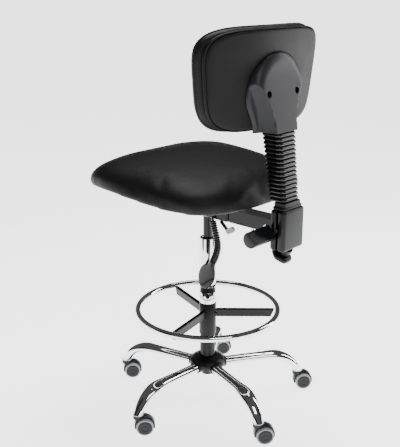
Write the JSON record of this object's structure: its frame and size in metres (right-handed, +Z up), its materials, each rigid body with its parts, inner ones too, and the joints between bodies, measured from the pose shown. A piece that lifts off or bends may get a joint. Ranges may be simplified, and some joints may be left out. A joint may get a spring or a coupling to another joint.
{
  "type": "drafting chair",
  "caption": "Tall swivel drafting chair with padded seat and back, foot ring, gas-lift column, star base on twin-wheel casters and an adjustable back on a bellows-covered post.",
  "frame": {"origin": "on the floor at the middle of the chair's bounding box; the column axis stands 12.5 mm towards -X and 11 mm towards -Y of it", "axes": "+Z up from the floor; the sitter faces -Y; +X is the sitter's left, the side with the lift lever and the tilt handle"},
  "size_m": [0.5899, 0.6136, 1.1274],
  "materials": {
    "dark_plastic": "satin dark grey moulding or powder coat",
    "gloss_plastic": "glossy black",
    "pale_plastic": "light grey moulding",
    "chrome": "bright chrome plate on steel",
    "black_steel": "black painted steel",
    "zinc_screw": "zinc plated steel",
    "black_rubber": "satin black rubber",
    "caster_tread": "dark grey disc with a soft grey tread",
    "black_leatherette": "matt black leatherette over foam"
  },
  "bodies": {
    "base": {"base_hub": "dark_plastic", "base_leg_1": "chrome", "base_leg_2": "chrome", "base_leg_3": "chrome", "base_leg_4": "chrome", "base_leg_5": "chrome", "leg_plug_1": "pale_plastic", "leg_plug_2": "pale_plastic", "leg_plug_3": "pale_plastic", "leg_plug_4": "pale_plastic", "leg_plug_5": "pale_plastic", "lower_column_tube": "dark_plastic", "gas_cylinder": "chrome"},
    "foot_ring": {"foot_ring_sleeve": "dark_plastic", "foot_ring_collar": "chrome", "foot_ring_arm_1": "dark_plastic", "foot_ring_arm_2": "dark_plastic", "foot_ring_arm_3": "dark_plastic", "foot_ring_hoop": "chrome"},
    "lift": {"piston_rod": "black_steel"},
    "seat": {"seat_mechanism": "black_steel", "seat_board": "dark_plastic", "seat_cushion": "black_leatherette", "back_bar": "black_steel", "bar_lock_screw": "black_steel", "bar_lock_clip": "pale_plastic"},
    "lift_lever": {"lift_lever_rod": "black_steel", "lift_lever_sleeve": "black_rubber", "lift_lever_grip": "gloss_plastic"},
    "bracket": {"bracket_cover_front": "dark_plastic", "bracket_cover_rear": "dark_plastic", "bellows_neck": "dark_plastic", "back_pivot_pin": "zinc_screw", "knob_boss": "dark_plastic", "back_upright": "black_steel", "back_bellows": "black_rubber"},
    "tilt_handle": {"tilt_handle": "dark_plastic", "handle_screw_1": "zinc_screw", "handle_screw_2": "zinc_screw"},
    "tension_knob": {"tension_knob": "dark_plastic"},
    "backrest": {"back_panel": "black_leatherette", "back_cushion": "black_leatherette", "back_cover": "dark_plastic", "cover_screw_1": "zinc_screw", "cover_screw_2": "zinc_screw"},
    "caster_1": {"caster_hood_1": "dark_plastic"},
    "wheel_1a": {"caster_wheel_1a": "caster_tread"},
    "wheel_1b": {"caster_wheel_1b": "caster_tread"},
    "caster_2": {"caster_hood_2": "dark_plastic"},
    "wheel_2a": {"caster_wheel_2a": "caster_tread"},
    "wheel_2b": {"caster_wheel_2b": "caster_tread"},
    "caster_3": {"caster_hood_3": "dark_plastic"},
    "wheel_3a": {"caster_wheel_3a": "caster_tread"},
    "wheel_3b": {"caster_wheel_3b": "caster_tread"},
    "caster_4": {"caster_hood_4": "dark_plastic"},
    "wheel_4a": {"caster_wheel_4a": "caster_tread"},
    "wheel_4b": {"caster_wheel_4b": "caster_tread"},
    "caster_5": {"caster_hood_5": "dark_plastic"},
    "wheel_5a": {"caster_wheel_5a": "caster_tread"},
    "wheel_5b": {"caster_wheel_5b": "caster_tread"}
  },
  "joints": [
    {"name": "caster_1_swivel", "type": "hinge", "parent": "base", "child": "caster_1", "pos_m": [0.07272, -0.28715, 0.06], "axis": [0, 0, 1], "continuous": true},
    {"name": "wheel_1a_spin", "type": "hinge", "parent": "caster_1", "child": "wheel_1a", "pos_m": [0.04897, -0.28662, 0.025], "axis": [-0.6691, -0.7431, 0], "continuous": true},
    {"name": "wheel_1b_spin", "type": "hinge", "parent": "caster_1", "child": "wheel_1b", "pos_m": [0.06971, -0.26359, 0.025], "axis": [-0.6691, -0.7431, 0], "continuous": true},
    {"name": "caster_2_swivel", "type": "hinge", "parent": "base", "child": "caster_2", "pos_m": [0.27647, -0.01529, 0.06], "axis": [0, 0, 1], "continuous": true},
    {"name": "wheel_2a_spin", "type": "hinge", "parent": "caster_2", "child": "wheel_2a", "pos_m": [0.25272, -0.01476, 0.025], "axis": [-0.6691, -0.7431, 0], "continuous": true},
    {"name": "wheel_2b_spin", "type": "hinge", "parent": "caster_2", "child": "wheel_2b", "pos_m": [0.27346, 0.00828, 0.025], "axis": [-0.6691, -0.7431, 0], "continuous": true},
    {"name": "caster_3_swivel", "type": "hinge", "parent": "base", "child": "caster_3", "pos_m": [0.08087, 0.2625, 0.06], "axis": [0, 0, 1], "continuous": true},
    {"name": "wheel_3a_spin", "type": "hinge", "parent": "caster_3", "child": "wheel_3a", "pos_m": [0.05713, 0.26303, 0.025], "axis": [-0.6691, -0.7431, 0], "continuous": true},
    {"name": "wheel_3b_spin", "type": "hinge", "parent": "caster_3", "child": "wheel_3b", "pos_m": [0.07787, 0.28606, 0.025], "axis": [-0.6691, -0.7431, 0], "continuous": true},
    {"name": "caster_4_swivel", "type": "hinge", "parent": "base", "child": "caster_4", "pos_m": [-0.24376, 0.16232, 0.06], "axis": [0, 0, 1], "continuous": true},
    {"name": "wheel_4a_spin", "type": "hinge", "parent": "caster_4", "child": "wheel_4a", "pos_m": [-0.26751, 0.16284, 0.025], "axis": [-0.6691, -0.7431, 0], "continuous": true},
    {"name": "wheel_4b_spin", "type": "hinge", "parent": "caster_4", "child": "wheel_4b", "pos_m": [-0.24677, 0.18588, 0.025], "axis": [-0.6691, -0.7431, 0], "continuous": true},
    {"name": "caster_5_swivel", "type": "hinge", "parent": "base", "child": "caster_5", "pos_m": [-0.2488, -0.17738, 0.06], "axis": [0, 0, 1], "continuous": true},
    {"name": "wheel_5a_spin", "type": "hinge", "parent": "caster_5", "child": "wheel_5a", "pos_m": [-0.27255, -0.17686, 0.025], "axis": [-0.6691, -0.7431, 0], "continuous": true},
    {"name": "wheel_5b_spin", "type": "hinge", "parent": "caster_5", "child": "wheel_5b", "pos_m": [-0.25181, -0.15382, 0.025], "axis": [-0.6691, -0.7431, 0], "continuous": true},
    {"name": "foot_ring_height", "type": "slide", "parent": "base", "child": "foot_ring", "axis": [0, 0, 1], "range_m": [-0.065, 0.012]},
    {"name": "seat_height", "type": "slide", "parent": "base", "child": "lift", "axis": [0, 0, 1], "range_m": [-0.04, 0.2]},
    {"name": "seat_swivel", "type": "hinge", "parent": "lift", "child": "seat", "pos_m": [-0.0125, -0.011, 0.6], "axis": [0, 0, 1], "continuous": true},
    {"name": "lift_lever_pull", "type": "hinge", "parent": "seat", "child": "lift_lever", "pos_m": [0.0235, 0.037, 0.6], "axis": [0, -1, 0], "range_deg": [0, 8], "stiffness_Nm_per_rad": 3},
    {"name": "back_tilt", "type": "hinge", "parent": "seat", "child": "bracket", "pos_m": [-0.0125, 0.269, 0.61], "axis": [-1, 0, 0], "range_deg": [-4, 14]},
    {"name": "tilt_handle_turn", "type": "hinge", "parent": "bracket", "child": "tilt_handle", "pos_m": [0.0775, 0.2545, 0.6035], "axis": [1, 0, 0], "range_deg": [0, 30]},
    {"name": "tension_knob_turn", "type": "hinge", "parent": "bracket", "child": "tension_knob", "pos_m": [-0.0125, 0.272, 0.553], "axis": [0, 0.5592, 0.829], "continuous": true},
    {"name": "back_height", "type": "slide", "parent": "bracket", "child": "backrest", "axis": [0, -0.1386, 0.9903], "range_m": [-0.02, 0.055], "deforming": ["back_bellows"]}
  ]
}
